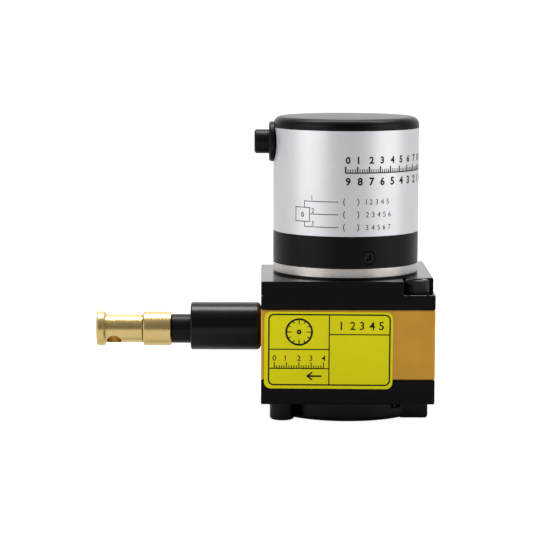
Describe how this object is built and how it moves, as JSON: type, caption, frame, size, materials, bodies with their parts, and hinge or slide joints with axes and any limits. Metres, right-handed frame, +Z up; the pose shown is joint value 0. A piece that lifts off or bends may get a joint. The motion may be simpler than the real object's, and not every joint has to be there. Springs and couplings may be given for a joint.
{
  "type": "draw wire encoder",
  "caption": "Draw wire position sensor: spring-loaded wire drum in a square body, swivelling brass clip on the wire, round cover with the turn sensor on top.",
  "frame": {"origin": "on the drum axis, in the flat underside of the spring cover that the body rests on", "axes": "+Z up along the drum and sensor axis, the wire is drawn out along -X, the labelled face looks along -Y"},
  "size_m": [0.0997, 0.0502, 0.0872],
  "materials": {
    "black_plate": "black anodised aluminium, satin, slightly reflective at a low angle",
    "gold_anodised": "gold anodised aluminium with a fine brushed grain",
    "black_oxide_steel": "black oxide screws, semi-gloss",
    "black_cover": "black powder coat, satin",
    "spring_cover": "black moulded plastic, satin",
    "spring_steel": "tempered spring steel",
    "bright_steel": "ground steel",
    "brass": "polished turned brass",
    "drum_aluminium": "turned aluminium",
    "cast_ring": "bare machined casting, faintly speckled",
    "ceramic": "polished white ceramic",
    "black_rubber": "smooth black rubber",
    "black_nozzle": "black anodised, semi-gloss",
    "silver_wrap": "silver film, satin, printed in black",
    "wire_steel": "stainless wire rope",
    "pot_blue": "blue moulded plastic",
    "pot_white": "natural moulded plastic",
    "element": "wound resistance element on its former",
    "gilt": "gold-plated contact",
    "label_yellow": "yellow printed label film"
  },
  "bodies": {
    "housing": {"top_plate": "black_plate", "drum_housing": "gold_anodised", "bottom_plate": "black_plate", "body_screws": "black_oxide_steel", "spring_cover": "spring_cover", "spring_cover_screws": "black_oxide_steel", "power_spring": "spring_steel", "lower_bearing_outer_ring": "bright_steel", "upper_bearing_outer_ring": "bright_steel", "bearing_shields": "bright_steel", "wire_nozzle": "black_nozzle", "guide_eyelet": "ceramic", "flange_gasket": "black_rubber", "sensor_flange": "cast_ring", "flange_screws": "bright_steel", "sensor_cover": "black_cover", "cover_wrap": "silver_wrap", "cover_screws": "black_oxide_steel", "cable_gland": "black_rubber", "gland_nut": "spring_cover", "pot_bracket": "drum_aluminium", "bracket_screws": "bright_steel", "pot_front": "bright_steel", "pot_case": "pot_blue", "pot_element": "element", "pot_terminals": "gilt", "pot_washer": "bright_steel", "pot_nut": "bright_steel", "front_label": "label_yellow"},
    "drum": {"drum_shaft": "bright_steel", "wire_drum": "drum_aluminium", "drum_set_screws": "black_oxide_steel", "wire_winding": "wire_steel", "shaft_circlip": "spring_steel", "lower_bearing_inner_ring": "bright_steel", "upper_bearing_inner_ring": "bright_steel", "shaft_coupling": "drum_aluminium", "coupling_screws": "black_oxide_steel", "spring_arbor": "brass", "pot_shaft": "bright_steel", "pot_rotor": "pot_white"},
    "bearing_cages": {"bearing_balls": "bright_steel", "bearing_cages": "brass"},
    "pot_wiper": {"pot_wiper": "gilt"},
    "wire_end": {"draw_wire": "wire_steel", "wire_ferrule": "brass", "clip_stem": "brass", "stop_sleeve": "black_rubber", "clip_collar": "brass"},
    "clip": {"clip_eye": "brass"}
  },
  "joints": [
    {"name": "clip_pull", "type": "slide", "parent": "housing", "child": "wire_end", "axis": [-1, 0, 0], "range_m": [0, 0.5], "deforming": ["draw_wire"]},
    {"name": "clip_swivel", "type": "hinge", "parent": "wire_end", "child": "clip", "pos_m": [-0.06061, 0.01194, 0.02202], "axis": [1, 0, 0], "continuous": true},
    {"name": "drum_spin", "type": "hinge", "parent": "housing", "child": "drum", "pos_m": [0, 0, 0], "axis": [0, 0, 1], "range_deg": [0, 2400.1], "stiffness_Nm_per_rad": 0.00064, "springref_deg": -3600.01, "deforming": ["power_spring"]},
    {"name": "cage_orbit", "type": "hinge", "parent": "housing", "child": "bearing_cages", "pos_m": [0, 0, 0], "axis": [0, 0, 1], "range_deg": [0, 988.37]},
    {"name": "wiper_travel", "type": "slide", "parent": "drum", "child": "pot_wiper", "axis": [0, 0, 1], "range_m": [0, 0.00601]}
  ],
  "couplings": [
    {"joint": "drum_spin", "follows": "clip_pull", "rad_per_m": 83.776},
    {"joint": "cage_orbit", "follows": "clip_pull", "rad_per_m": 34.497},
    {"joint": "wiper_travel", "follows": "clip_pull", "ratio": 0.012}
  ]
}
